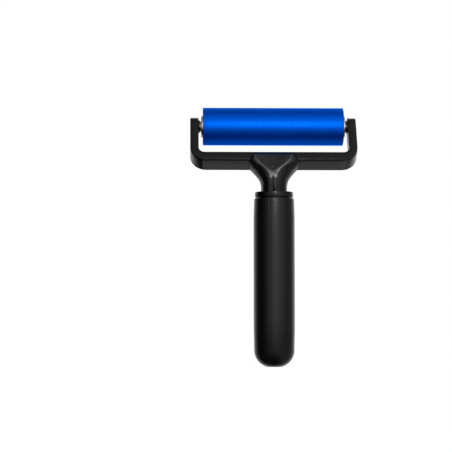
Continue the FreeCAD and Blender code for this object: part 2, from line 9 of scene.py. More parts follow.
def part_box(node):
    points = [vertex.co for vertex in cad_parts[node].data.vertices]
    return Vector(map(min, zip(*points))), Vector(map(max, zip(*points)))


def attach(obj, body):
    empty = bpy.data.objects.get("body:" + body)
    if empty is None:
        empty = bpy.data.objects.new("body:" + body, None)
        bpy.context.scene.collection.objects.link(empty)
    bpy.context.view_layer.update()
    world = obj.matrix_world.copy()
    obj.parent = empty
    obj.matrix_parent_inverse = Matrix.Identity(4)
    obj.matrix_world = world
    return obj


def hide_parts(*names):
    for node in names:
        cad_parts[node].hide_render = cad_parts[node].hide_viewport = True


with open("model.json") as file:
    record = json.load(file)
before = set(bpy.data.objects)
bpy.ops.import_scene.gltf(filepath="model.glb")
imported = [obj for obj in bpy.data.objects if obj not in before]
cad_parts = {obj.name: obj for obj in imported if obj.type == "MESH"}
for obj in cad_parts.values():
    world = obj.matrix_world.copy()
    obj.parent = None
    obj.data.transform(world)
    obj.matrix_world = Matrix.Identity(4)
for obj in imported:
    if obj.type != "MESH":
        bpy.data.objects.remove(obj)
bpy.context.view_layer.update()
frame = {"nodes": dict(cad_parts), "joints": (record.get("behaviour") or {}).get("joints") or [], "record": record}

MM = 0.001

# ---------------------------------------------------------------- sizes read from the frame
_, grip_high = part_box("grip")
cover_low, cover_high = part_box("roller_cover")
core_low, core_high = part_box("roller_core")
_, yoke_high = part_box("yoke")
joint = next(j for j in frame["joints"] if j["name"] == "roller_spin")
AXLE = Vector(joint["pos_m"])

GRIP_HEIGHT = grip_high.z
GRIP_RADIUS = grip_high.x
COVER_RADIUS = (cover_high.z - cover_low.z) / 2
COVER_HALF = cover_high.x
CORE_RADIUS = (core_high.z - core_low.z) / 2

# ---------------------------------------------------------------- sizes of the moulded yoke
LEAN = math.radians(32)
YOKE_HALF = min(118.1 / 2 * MM, yoke_high.x)    # never wider than the CAD's
STRAP_HALF = 12.6 / 2 * MM
ARM = 5.95 * MM
BAR_HALF = 6.7 / 2 * MM
REACH = 27.7 * MM              # from the crossbar's top to the axle
CORNER_OUTER = 11.4 * MM
CORNER_INNER = 4.2 * MM
STRAP_EDGE = 0.7 * MM
STRAP_INNER_EDGE = 0.3 * MM
BOSS_RADIUS = 4.6 * MM
BOSS_HEIGHT = 0.9 * MM
COLLAR_RADIUS = 13.45 * MM
COLLAR_LOW = GRIP_HEIGHT + 0.7 * MM
COLLAR_HIGH = COLLAR_LOW + 3.8 * MM
REVEAL_RADIUS = 11.5 * MM      # the smaller step under the collar
SHAFT_RADIUS = 2.5 * MM

# The strap's own frame: arms run along UP, the front faces FRONT, the middle of the crossbar is BAR.
UP = Vector((0, math.sin(LEAN), math.cos(LEAN)))
FRONT = Vector((0, -math.cos(LEAN), math.sin(LEAN)))
BAR = AXLE - UP * (REACH + BAR_HALF)


def in_strap(across, ahead, along):
    """A point given along X, along the strap's front normal and along its arms."""
    return BAR + Vector((across, 0, 0)) + FRONT * ahead + UP * along


def ease(value):
    """Smooth step from 0 to 1."""
    value = min(1.0, max(0.0, value))
    return value * value * (3 - 2 * value)


def between(table, key):
    """Smooth reading of a (key, value) table, with a Catmull-Rom curve through its points."""
    keys = [row[0] for row in table]
    values = [row[1] for row in table]
    if key <= keys[0]:
        return values[0]
    if key >= keys[-1]:
        return values[-1]
    index = max(i for i, known in enumerate(keys) if known <= key)
    span = keys[index + 1] - keys[index]
    share = (key - keys[index]) / span
    slopes = []
    for i in (index, index + 1):
        before, after = max(i - 1, 0), min(i + 1, len(keys) - 1)
        slopes.append((values[after] - values[before]) / (keys[after] - keys[before]) * span)
    low, high = values[index], values[index + 1]
    square, cube = share ** 2, share ** 3
    return ((2 * cube - 3 * square + 1) * low + (cube - 2 * square + share) * slopes[0]
            + (3 * square - 2 * cube) * high + (cube - square) * slopes[1])


# ---------------------------------------------------------------- mesh helpers
def piece_from(name, bm, smooth_angle=35):
    """Turn a bmesh into a linked object with smooth shading up to an angle."""
    bmesh.ops.recalc_face_normals(bm, faces=bm.faces)
    mesh = bpy.data.meshes.new(name)
    bm.to_mesh(mesh)
    bm.free()
    for polygon in mesh.polygons:
        polygon.use_smooth = True
    mesh.set_sharp_from_angle(angle=math.radians(smooth_angle))
    piece = bpy.data.objects.new(name, mesh)
    bpy.context.scene.collection.objects.link(piece)
    return piece


def ring_of(bm, points):
    """New vertices at the points."""
    return [bm.verts.new(point) for point in points]


def bridge(bm, first, second):
    """Quads between two closed rings with the same number of vertices."""
    count = len(first)
    for i in range(count):
        bm.faces.new((first[i], first[(i + 1) % count], second[(i + 1) % count], second[i]))


def fan(bm, ring, centre):
    """Triangles from a closed ring to one point."""
    hub = bm.verts.new(centre)
    for i in range(len(ring)):
        bm.faces.new((ring[i], ring[(i + 1) % len(ring)], hub))


def add_lathe(bm, profile, angles, shape=None):
    """Closed body of revolution about Z.

    profile runs from axis to axis in (radius, height); shape, if given, is called with (radius, angle) and
    returns the radius there.
    """
    rings = []
    for radius, height in profile[1:-1]:
        points = []
        for angle in angles:
            moved = shape(radius, angle) if shape else radius
            points.append(Vector((moved * math.cos(angle), moved * math.sin(angle), height)))
        rings.append(ring_of(bm, points))
    for first, second in zip(rings, rings[1:]):
        bridge(bm, first, second)
    fan(bm, rings[0], (0, 0, profile[0][1]))
    fan(bm, rings[-1], (0, 0, profile[-1][1]))


def arc(centre_r, centre_z, radius, start, finish, steps):
    """Points of a round stretch of a profile, angles in degrees from the outward radius."""
    points = []
    for step in range(steps + 1):
        angle = math.radians(start + (finish - start) * step / steps)
        points.append((centre_r + radius * math.cos(angle), centre_z + radius * math.sin(angle)))
    return points


ROUND_STEPS = 144
FOCUS_CLEAR = 1.3              # even angles keep this many half widths away from a focus


def spread(focus, half_width, extra):
    """Even angles round a full turn, with extra ones packed into a narrow stretch at each focus."""
    angles = {round(2 * math.pi * i / ROUND_STEPS, 7) for i in range(ROUND_STEPS)}
    clear = FOCUS_CLEAR * half_width
    for middle in focus:
        angles = {a for a in angles if abs(math.remainder(a - middle, 2 * math.pi)) > clear}
        for step in range(-extra, extra + 1):
            angles.add(round((middle + half_width * step / extra) % (2 * math.pi), 7))
    return sorted(angles)


# ---------------------------------------------------------------- grip
SEAM_ANGLE = math.radians(-90 - 16)    # 16 degrees to the left of the front
SEAM_HALF = 0.55 * MM
SEAM_GROOVE_HALF = 0.6 * SEAM_HALF
SEAM_DEPTH = 0.2 * MM
SEAM_STEP = 0.05 * MM
SEAM_REACH = 5 * MM                    # how far round the grip the step takes to fade out
SEAM_FADE = 6 * MM                     # the seam's depth grows from none at this radius to full at twice it
SEAM_PACK = 1.5                        # its extra columns take up this many times its width
BUTT_FLAT = 4.6 * MM
BUTT_EDGE = 0.15 * MM
BUTT_ROUNDING = 11.8 * MM
HEEL_RADIUS = 14.1 * MM
GRIP_LIP = 0.6 * MM
BORE_RADIUS = 8.5 * MM
BORE_EDGE = 0.3 * MM
BORE_CLEAR = 1 * MM                    # the seam keeps this far outside the bore's radius
BORE_FLOOR = GRIP_HEIGHT - 86 * MM
SIDE_STEPS = 52
GRIP_SHAPE = [(11.6 * MM, HEEL_RADIUS), (30 * MM, GRIP_RADIUS), (66 * MM, GRIP_RADIUS),
              (104 * MM, GRIP_RADIUS - 0.03 * MM), (117.4 * MM, GRIP_RADIUS - 0.4 * MM)]


def grip_profile():
    """Outline from the middle of the butt, up the side, over the lip and down the bore."""
    centre_r = HEEL_RADIUS - BUTT_ROUNDING
    centre_z = math.sqrt(BUTT_ROUNDING ** 2 - (BUTT_FLAT - centre_r) ** 2)
    start = -math.degrees(math.acos((BUTT_FLAT - centre_r) / BUTT_ROUNDING))
    outline = [(0, 0), (BUTT_FLAT * 0.5, 0), (BUTT_FLAT - BUTT_EDGE, 0)]
    outline += arc(centre_r, centre_z, BUTT_ROUNDING, start, 0, steps=22)
    top = GRIP_HEIGHT - GRIP_LIP
    for step in range(1, SIDE_STEPS + 1):
        height = centre_z + (top - centre_z) * step / SIDE_STEPS
        outline.append((min(between(GRIP_SHAPE, height), GRIP_RADIUS), height))
    rim = outline[-1][0] - GRIP_LIP
    outline += arc(rim, top, GRIP_LIP, 0, 90, steps=6)[1:]
    outline += [(BORE_RADIUS + BORE_EDGE, GRIP_HEIGHT), (BORE_RADIUS, GRIP_HEIGHT - BORE_EDGE)]
    outline += [(BORE_RADIUS, BORE_FLOOR), (0, BORE_FLOOR)]
    return outline


def seam_shape(radius, angle):
    """The mould's parting seam: a fine groove with a slight step beside it, on the outer wall only."""
    if radius < BORE_RADIUS + BORE_CLEAR:
        return radius
    offset = math.remainder(angle - SEAM_ANGLE, 2 * math.pi) * radius
    fade = ease(radius / SEAM_FADE - 1)
    groove = SEAM_DEPTH * max(0.0, 1 - abs(offset) / SEAM_GROOVE_HALF)
    step = SEAM_STEP * ease(0.5 - offset / SEAM_HALF) * ease(1 + offset / SEAM_REACH)
    return radius - fade * (groove + step)


def make_grip():
    """Handle sleeve with its rounded butt, its blind bore and the mould's seam."""
    bm = bmesh.new()
    angles = spread([SEAM_ANGLE], SEAM_HALF / GRIP_RADIUS * SEAM_PACK, extra=5)
    add_lathe(bm, grip_profile(), angles, seam_shape)
    return piece_from("grip_sleeve", bm)


# ---------------------------------------------------------------- roller cover
COVER_EDGE = 0.45 * MM
COVER_LENGTHS = 24
COVER_SEGMENTS = 192


def about_axle(bm, outline, segments, side=1):
    """Closed tube about the axle. outline is (radius, distance across), side mirrors it."""
    rings = []
    for radius, across in outline:
        points = []
        for step in range(segments):
            angle = 2 * math.pi * step / segments
            points.append(AXLE + Vector((side * across, radius * math.cos(angle), radius * math.sin(angle))))
        rings.append(ring_of(bm, points))
    for first, second in zip(rings, rings[1:] + rings[:1]):
        bridge(bm, first, second)


def make_cover():
    """Rubber sleeve with softly broken edges, a tube about the axle."""
    shoulder = COVER_RADIUS - COVER_EDGE
    low, high = -COVER_HALF, COVER_HALF
    outline = [(CORE_RADIUS, low), (shoulder, low)]
    outline += arc(shoulder, low + COVER_EDGE, COVER_EDGE, -90, 0, steps=5)[1:]
    outline += [(COVER_RADIUS, low + (high - low) * step / COVER_LENGTHS) for step in range(1, COVER_LENGTHS)]
    outline += arc(shoulder, high - COVER_EDGE, COVER_EDGE, 0, 90, steps=5)
    outline += [(CORE_RADIUS, high)]
    bm = bmesh.new()
    about_axle(bm, outline, COVER_SEGMENTS)
    return piece_from("roller_sleeve", bm)


# ---------------------------------------------------------------- yoke moulding
TIP_STEPS = 12
ARM_STEPS = 8
CORNER_STEPS = 14
BAR_STEPS = 6
TIP_HALF = 0.02 * MM           # half width left at the very tip of an arm
EDGE_STEPS = 5
EDGE_SHARE = 0.98              # an edge's radius takes up no more of the half width than this
# Groove in the strap's outer face, just behind its front edge, corner by corner:
# (distance behind the front, depth).
STRAP_GROOVE = [(0.9 * MM, 0.0), (1.3 * MM, 0.35 * MM), (1.6 * MM, 0.35 * MM), (2.0 * MM, 0.0)]


def round_corner(corner, radius):
    """Quarter circle as (across, along), from the right arm's side down and in towards the middle."""
    centre = (corner[0] - radius, corner[1] + radius)
    points = []
    for step in range(CORNER_STEPS + 1):
        angle = math.pi / 2 * step / CORNER_STEPS
        points.append((centre[0] + radius * math.cos(angle), centre[1] - radius * math.sin(angle)))
    return points


def strap_stations():
    """Stations from the right arm's tip to the left one's: (outer point, inner point, half width)."""
    right = []
    axle_up = BAR_HALF + REACH
    inner = YOKE_HALF - ARM
    for step in range(TIP_STEPS, 0, -1):
        angle = math.pi / 2 * step / TIP_STEPS
        along = axle_up + STRAP_HALF * math.sin(angle)
        half = max(STRAP_HALF * math.cos(angle), TIP_HALF)
        right.append(((YOKE_HALF, along), (inner, along), half))
    low = -BAR_HALF + CORNER_OUTER
    for step in range(ARM_STEPS + 1):
        along = axle_up + (low - axle_up) * step / ARM_STEPS
        right.append(((YOKE_HALF, along), (inner, along), STRAP_HALF))
    outer = round_corner((YOKE_HALF, -BAR_HALF), CORNER_OUTER)
    inside = round_corner((inner, BAR_HALF), CORNER_INNER)
    right += [(o, i, STRAP_HALF) for o, i in zip(outer[1:], inside[1:])]
    for step in range(1, BAR_STEPS + 1):
        across = outer[-1][0] * (1 - step / BAR_STEPS)
        inner_across = inside[-1][0] * (1 - step / BAR_STEPS)
        right.append(((across, -BAR_HALF), (inner_across, BAR_HALF), STRAP_HALF))
    left = [((-o[0], o[1]), (-i[0], i[1]), half) for o, i, half in reversed(right[:-1])]
    return right + left


def strap_section(thickness, half):
    """Rounded rectangle of the strap, as (depth from the outer face, distance ahead of the middle)."""
    outer, inner = (min(edge, EDGE_SHARE * half) for edge in (STRAP_EDGE, STRAP_INNER_EDGE))
    size = half / STRAP_HALF
    turns = [math.pi / 2 * step / EDGE_STEPS for step in range(EDGE_STEPS + 1)]
    section = [(outer - outer * math.sin(t), half - outer + outer * math.cos(t)) for t in turns]
    section += [(depth * size, half - behind * size) for behind, depth in STRAP_GROOVE]
    section += [(inner - inner * math.cos(t), inner - half - inner * math.sin(t)) for t in turns]
    far = thickness - inner
    section += [(far + inner * math.sin(t), inner - half - inner * math.cos(t)) for t in turns]
    section += [(far + inner * math.cos(t), half - inner + inner * math.sin(t)) for t in turns]
    return section


def make_strap():
    """U-shaped strap as one closed tube of rounded sections."""
    bm = bmesh.new()
    rings = []
    for outer, inner, half in strap_stations():
        outer, inner = Vector((*outer, 0)), Vector((*inner, 0))
        inward = (inner - outer).normalized()
        points = []
        for depth, ahead in strap_section((inner - outer).length, half):
            place = outer + inward * depth
            points.append(in_strap(place.x, ahead, place.y))
        rings.append(ring_of(bm, points))
    for first, second in zip(rings, rings[1:]):
        bridge(bm, first, second)
    bm.faces.new(rings[0])
    bm.faces.new(rings[-1])
    return bm


# The neck, section by section, in millimetres. Each table pairs a height above the butt with a length there:
# half-width at its widest, how far behind the axis that is, front depth on the two ridges, back depth,
# half the distance between the ridges, and front depth in the valley between them.
NECK_BASE = 122.3
NECK_WIDTH = [(122.3, 9.1), (127.0, 9.3), (129.2, 9.7), (131.3, 10.55), (133.4, 12.0), (135.5, 13.7),
              (137.6, 15.6), (139.7, 17.7), (141.8, 18.5), (145.2, 19.0), (147.4, 16.7), (151.0, 14.6)]
NECK_WIDEST = [(122.3, 0.0), (127.0, 0.2), (131.3, 2.2), (135.5, 5.2), (137.6, 6.2), (141.0, 5.0),
               (151.0, 1.5)]
NECK_FRONT = [(122.3, 9.6), (125.0, 9.9), (128.0, 10.25), (130.5, 10.46), (132.0, 10.5), (133.5, 10.42),
              (136.0, 10.1), (138.5, 9.78), (141.0, 9.45), (145.0, 8.85), (148.6, 8.2)]
NECK_BACK = [(122.3, 9.1), (130.0, 9.2), (134.0, 8.9), (137.6, 8.0), (140.6, 6.5), (151.0, 3.5)]
NECK_RIDGE = [(122.3, 2.0), (134.5, 2.2), (136.7, 3.2), (139.5, 5.2), (141.5, 7.6), (144.9, 10.4),
              (148.6, 12.8)]
NECK_VALLEY = [(133.5, 10.42), (136.0, 10.1), (138.5, 9.65), (140.3, 9.15), (141.9, 8.6), (145.4, 7.6),
               (148.6, 6.5)]
# As shares of the way out to the ridge: where the valley's floor ends, and how long its wall would be.
VALLEY_FLAT = 0.15
VALLEY_WALL = 0.95
# Small marks on the front, all in millimetres. Places across are from the middle of the relief.
DIMPLE = (-0.2, 138.8, 0.9, 0.5)       # across, height, size, depth
DIMPLE_SQUAT = 0.8                     # its height as a share of its width
GROOVE_DEPTH = 0.22
GROOVE_WIDTH = 0.36
GROOVE_TOP = 134.5
GROOVE_FADE = 3
BEAD_ACROSS, BEAD_WIDTH = 1.5, 1.1
BEAD_HEIGHT, BEAD_LENGTH = 122.8, 3.8
BEAD_RISE = 0.75
# The relief of the front sits this far to one side of the neck's own middle.
FRONT_SHIFT = -1.2
# Line down each side, at an angle round the section from the front, between two heights.
SIDE_LINE = math.radians(68)
SIDE_LINE_HALF = math.radians(3.2)
SIDE_LINE_DEPTH = 0.35
SIDE_LINE_LOW, SIDE_LINE_HIGH = 126, 143
SIDE_LINE_FADE = 3
# The section's sides are elliptical up to a height, and grow squarer over the next stretch.
SQUARE_FROM, SQUARE_OVER = 139, 7
# Above its front lip the neck slopes back into the strap and ends inside it.
LIP_HEIGHT = 148.5
LIP_SOFT = 0.5
SHOULDER_ALONG = 2.75 * MM
SHOULDER_AHEAD = 5.9 * MM
SHOULDER_TAPER = 0.92
SHOULDER_SHARES = (0.04, 0.1, 0.18, 0.28, 0.4, 0.6, 0.8, 1.0)
NECK_LEVELS = 84
TOP_ROUNDS = 30                # a column's end has settled well before this many rounds
# The front's grid is this fine near its middle, up to the distance where it starts to follow the ridges.
FINE_STEP = 0.15
FINE_HALF = 1.5
FRONT_COLUMNS = 20
SIDE_COLUMNS = 26
BACK_COLUMNS = 22
# Columns at the side line, and how far the even ones keep away from it, in half widths of the line.
LINE_COLUMNS = (-1.1, -1, -0.5, -0.1, 0.1, 0.5, 1, 1.1)
LINE_CLEAR = 1.4


def neck_columns():
    """Where the columns of the neck's grid run, down one side from the front middle to the back middle."""
    columns = [("front", FINE_STEP * step, None) for step in range(round(FINE_HALF / FINE_STEP) + 1)]
    columns += [("front", FINE_HALF, step / FRONT_COLUMNS) for step in range(1, FRONT_COLUMNS + 1)]
    angles = [math.pi / 2 * step / SIDE_COLUMNS for step in range(1, SIDE_COLUMNS + 1)]
    angles = [a for a in angles if abs(a - SIDE_LINE) > LINE_CLEAR * SIDE_LINE_HALF]
    angles += [SIDE_LINE + SIDE_LINE_HALF * shift for shift in LINE_COLUMNS]
    columns += [("side", a, None) for a in sorted(angles)]
    columns += [("back", math.pi / 2 * step / BACK_COLUMNS, None) for step in range(1, BACK_COLUMNS + 1)]
    return columns


def bell(value, middle, width):
    """Smooth bump of height 1."""
    return math.exp(-((value - middle) / width) ** 2)


def front_marks(x, height):
    """Relief of the front's parting line, a groove beside a bead, and of the dimple in the valley's foot."""
    groove = GROOVE_DEPTH * bell(x, 0, GROOVE_WIDTH) * ease((GROOVE_TOP - height) / GROOVE_FADE)
    bead = BEAD_RISE * bell(height, BEAD_HEIGHT, BEAD_LENGTH) * bell(x, BEAD_ACROSS, BEAD_WIDTH)
    across, up, size, depth = DIMPLE
    return bead - groove - depth * bell(x, across, size) * bell(height, up, DIMPLE_SQUAT * size)


def neck_point(height, column, side):
    """Point of the neck's surface, in millimetres, at a height and in a column of its right or left half."""
    kind, value, share = column
    width, widest = between(NECK_WIDTH, height), between(NECK_WIDEST, height)
    front, back = between(NECK_FRONT, height), between(NECK_BACK, height)
    ridge = between(NECK_RIDGE, height)
    if kind == "front":
        x = value if share is None else value + (ridge - value) * share
        out = ease((x / ridge - VALLEY_FLAT) / VALLEY_WALL)
        valley = min(front, between(NECK_VALLEY, height)) if height > NECK_VALLEY[0][0] else front
        y = -(valley + (front - valley) * out) - front_marks(side * x, height)
        shift = FRONT_SHIFT
    elif kind == "side":
        power = 2 + ease((height - SQUARE_FROM) / SQUARE_OVER)
        x = ridge + (width - ridge) * math.sin(value) ** (2 / power)
        y = widest - (front + widest) * max(0.0, math.cos(value)) ** (2 / power)
        line = SIDE_LINE_DEPTH * max(0.0, 1 - abs(value - SIDE_LINE) / SIDE_LINE_HALF)
        x -= (line * ease((height - SIDE_LINE_LOW) / SIDE_LINE_FADE)
              * ease((SIDE_LINE_HIGH - height) / SIDE_LINE_FADE))
        shift = FRONT_SHIFT * (1 - math.sin(value))
    else:
        x = width * max(0.0, math.cos(value)) ** (2 / 3)
        y = widest + (back - widest) * math.sin(value) ** (2 / 3)
        shift = 0.0
    return Vector((side * x + shift, y, height)) * MM


def neck_top(column, side):
    """Height where a column ends: at the lip in front, else on the square cut at the crossbar's middle."""
    height = LIP_HEIGHT
    for _ in range(TOP_ROUNDS):
        square_cut = BAR.z / MM - neck_point(height, column, side).y / MM * math.tan(LEAN)
        height = (height + min(LIP_HEIGHT, square_cut)) / 2
    return height


def add_neck(bm):
    """Flared neck from the collar up to the crossbar, with a shoulder above its front lip."""
    right = [(column, 1) for column in neck_columns()]
    left = [(column, -1) for column, _ in reversed(right[1:-1])]
    columns = right + left
    tops = [neck_top(column, side) for column, side in columns]
    rings = []
    for level in range(NECK_LEVELS + 1):
        heights = [NECK_BASE + (top - NECK_BASE) * level / NECK_LEVELS for top in tops]
        points = [neck_point(height, column, side) for height, (column, side) in zip(heights, columns)]
        rings.append(ring_of(bm, points))
    rim = [vertex.co.copy() for vertex in rings[-1]]
    below = [vertex.co.copy() for vertex in rings[-2]]
    ends = []
    for point in rim:
        ahead = min((point - BAR).dot(FRONT), SHOULDER_AHEAD)
        ends.append(in_strap(point.x * SHOULDER_TAPER, ahead, SHOULDER_ALONG))
    for share in SHOULDER_SHARES:
        points = []
        for low, start, end in zip(below, rim, ends):
            bend = start + (start - low).normalized() * LIP_SOFT * MM
            points.append(start * (1 - share) ** 2 + bend * 2 * share * (1 - share) + end * share ** 2)
        rings.append(ring_of(bm, points))
    for first, second in zip(rings, rings[1:]):
        bridge(bm, first, second)
    fan(bm, rings[0], (0, 0, NECK_BASE * MM))
    fan(bm, rings[-1], sum(ends, Vector()) / len(ends))


COLLAR_EDGE = 0.45 * MM
COLLAR_TOP_RADIUS = 8 * MM             # of the last ring on its flat top, hidden in the neck
PARTING_HALF = 0.35 * MM
PARTING_DEPTH = 0.2 * MM
PARTING_PACK = 1.4                     # the line's extra columns take up this many times its width
PARTING_FROM = REVEAL_RADIUS + 0.5 * MM
# The parting lines run down the back, and down the front in line with the neck's relief.
PARTING_ANGLES = [math.radians(90), math.radians(270 - 5.3)]


def collar_shape(radius, angle):
    """Parting line down the front and back of the collar."""
    offset = min(abs(math.remainder(angle - middle, 2 * math.pi)) for middle in PARTING_ANGLES) * radius
    if offset < PARTING_HALF and radius > PARTING_FROM:
        return radius - PARTING_DEPTH * (1 - offset / PARTING_HALF)
    return radius


def add_collar(bm):
    """Disc with broken edges on the smaller step that leaves the dark reveal line above the grip."""
    shoulder = COLLAR_RADIUS - COLLAR_EDGE
    outline = [(0, GRIP_HEIGHT), (REVEAL_RADIUS, GRIP_HEIGHT), (REVEAL_RADIUS, COLLAR_LOW)]
    outline += [(shoulder, COLLAR_LOW)]
    outline += arc(shoulder, COLLAR_LOW + COLLAR_EDGE, COLLAR_EDGE, -90, 0, steps=4)[1:]
    outline += arc(shoulder, COLLAR_HIGH - COLLAR_EDGE, COLLAR_EDGE, 0, 90, steps=4)
    outline += [(COLLAR_TOP_RADIUS, COLLAR_HIGH), (0, COLLAR_HIGH)]
    angles = spread(PARTING_ANGLES, PARTING_HALF / COLLAR_RADIUS * PARTING_PACK, extra=4)
    add_lathe(bm, outline, angles, collar_shape)


BOSS_EDGE = 0.2 * MM
BOSS_ROOT = 0.3 * MM           # how far the boss runs into the arm
SOCKET_DEPTH = 3.4 * MM        # of the socket, beyond the arm's inner face
SOCKET_EDGE = 0.1 * MM
BOSS_EDGE_STEPS = 4
BOSS_SEGMENTS = 64


def add_boss(bm, side):
    """Round boss on an arm's inner face with the shaft's socket in it."""
    inner = YOKE_HALF - ARM
    face = inner - BOSS_HEIGHT
    shoulder = BOSS_RADIUS - BOSS_EDGE
    outline = [(SHAFT_RADIUS, inner + SOCKET_DEPTH), (SHAFT_RADIUS, face + SOCKET_EDGE),
               (SHAFT_RADIUS + SOCKET_EDGE, face), (shoulder, face)]
    for step in range(1, BOSS_EDGE_STEPS + 1):
        turn = math.pi / 2 * step / BOSS_EDGE_STEPS
        outline.append((shoulder + BOSS_EDGE * math.sin(turn), face + BOSS_EDGE * (1 - math.cos(turn))))
    outline.append((BOSS_RADIUS, inner + BOSS_ROOT))
    about_axle(bm, outline, BOSS_SEGMENTS, side)


def make_yoke():
    """Strap, neck, collar and bosses as one moulding."""
    bm = make_strap()
    add_neck(bm)
    add_collar(bm)
    for side in (-1, 1):
        add_boss(bm, side)
    return piece_from("yoke_moulding", bm, smooth_angle=40)


# ---------------------------------------------------------------- material helpers
def new_material(name, colour, roughness, metallic=0.0, specular=0.5):
    """A Principled material with its constant values set on the shader's own sockets."""
    material = bpy.data.materials.new(name)
    material.use_nodes = True
    shader = material.node_tree.nodes["Principled BSDF"]
    shader.inputs["Base Color"].default_value = (*colour, 1)
    shader.inputs["Roughness"].default_value = roughness
    shader.inputs["Metallic"].default_value = metallic
    shader.inputs["Specular IOR Level"].default_value = specular
    return material, shader


def add_node(material, kind, **settings):
    """New shader node with some of its settings."""
    node = material.node_tree.nodes.new(kind)
    for name, value in settings.items():
        setattr(node, name, value)
    return node


def link(material, source, target):
    material.node_tree.links.new(source, target)


def place_texture(material, scale, location=(0, 0, 0)):
    """Object coordinates, in metres, scaled for the texture nodes that follow."""
    coordinates = add_node(material, "ShaderNodeTexCoord")
    mapping = add_node(material, "ShaderNodeMapping")
    mapping.inputs["Scale"].default_value = scale
    mapping.inputs["Location"].default_value = [-place * size for place, size in zip(location, scale)]
    link(material, coordinates.outputs["Object"], mapping.inputs["Vector"])
    return mapping.outputs["Vector"]


def noise_value(material, vector, scale, detail, rough):
    node = add_node(material, "ShaderNodeTexNoise")
    node.inputs["Scale"].default_value = scale
    node.inputs["Detail"].default_value = detail
    node.inputs["Roughness"].default_value = rough
    link(material, vector, node.inputs["Vector"])
    return node.outputs["Fac"]


NOISE_LOW, NOISE_HIGH = 0.3, 0.7       # noise seldom leaves this stretch


def remap(material, value, low, high):
    """Noise stretched to run from low to high."""
    node = add_node(material, "ShaderNodeMapRange")
    node.inputs["From Min"].default_value = NOISE_LOW
    node.inputs["From Max"].default_value = NOISE_HIGH
    node.inputs["To Min"].default_value = low
    node.inputs["To Max"].default_value = high
    link(material, value, node.inputs["Value"])
    return node.outputs["Result"]


def blend(material, noise, first, second):
    """Blend of two colours by noise."""
    value = remap(material, noise, 0, 1)
    node = add_node(material, "ShaderNodeMix", data_type="RGBA")
    colours = [socket for socket in node.inputs if socket.type == "RGBA"]
    colours[0].default_value = (*first, 1)
    colours[1].default_value = (*second, 1)
    link(material, value, node.inputs["Factor"])
    return next(socket for socket in node.outputs if socket.type == "RGBA")


def add_bump(material, shader, height, depth, below=None):
    """Bump of a given depth in metres, on top of an earlier bump if there is one."""
    node = add_node(material, "ShaderNodeBump")
    node.inputs["Strength"].default_value = 1.0
    node.inputs["Distance"].default_value = depth
    link(material, height, node.inputs["Height"])
    if below:
        link(material, below, node.inputs["Normal"])
    link(material, node.outputs["Normal"], shader.inputs["Normal"])
    return node.outputs["Normal"]


PER_MM = 1000


def grip_plastic():
    """Satin black plastic with a fine pebble grain, a little shinier in broad random patches."""
    material, shader = new_material("grip_plastic", (0.005, 0.005, 0.0053), 0.32)
    vector = place_texture(material, (PER_MM, PER_MM, PER_MM))
    pebble = add_node(material, "ShaderNodeTexVoronoi", feature="SMOOTH_F1")
    pebble.inputs["Scale"].default_value = 1.1
    pebble.inputs["Smoothness"].default_value = 0.6
    link(material, vector, pebble.inputs["Vector"])
    fine = noise_value(material, vector, 2.6, 3.0, 0.6)
    broad = noise_value(material, vector, 0.08, 2.0, 0.5)
    colour = blend(material, fine, (0.002, 0.002, 0.0022), (0.0045, 0.0045, 0.005))
    link(material, colour, shader.inputs["Base Color"])
    link(material, remap(material, broad, 0.22, 0.27), shader.inputs["Roughness"])
    first = add_bump(material, shader, pebble.outputs["Distance"], 0.1 * MM)
    add_bump(material, shader, fine, 0.03 * MM, first)
    return material


def yoke_plastic():
    """Smoother black plastic of the moulding, with faint flow marks."""
    material, shader = new_material("frame_plastic", (0.0045, 0.0045, 0.0047), 0.22)
    vector = place_texture(material, (PER_MM, PER_MM, PER_MM))
    fine = noise_value(material, vector, 1.8, 3.0, 0.6)
    flow = noise_value(material, vector, 0.12, 3.0, 0.55)
    colour = blend(material, flow, (0.0018, 0.0018, 0.002), (0.004, 0.004, 0.0042))
    link(material, colour, shader.inputs["Base Color"])
    link(material, remap(material, flow, 0.18, 0.26), shader.inputs["Roughness"])
    first = add_bump(material, shader, flow, 0.12 * MM)
    add_bump(material, shader, fine, 0.012 * MM, first)
    return material


def blue_rubber():
    """Smooth saturated blue cover with a satin sheen and faint grinding marks round it."""
    material, shader = new_material("blue_rubber", (0.0, 0.001, 0.28), 0.46, 0.0, 1.0)
    shader.inputs["IOR"].default_value = 5.0
    shader.inputs["Specular Tint"].default_value = (0.0, 0.17, 1.0, 1)
    marks = place_texture(material, (1.6 * PER_MM, 0.02 * PER_MM, 0.02 * PER_MM), AXLE)
    lines = noise_value(material, marks, 1.0, 4.0, 0.6)
    vector = place_texture(material, (PER_MM, PER_MM, PER_MM))
    cloud = noise_value(material, vector, 0.09, 3.0, 0.5)
    colour = blend(material, cloud, (0.0, 0.0006, 0.64), (0.0, 0.0012, 0.76))
    link(material, colour, shader.inputs["Base Color"])
    link(material, remap(material, lines, 0.42, 0.50), shader.inputs["Roughness"])
    add_bump(material, shader, lines, 0.006 * MM)
    return material


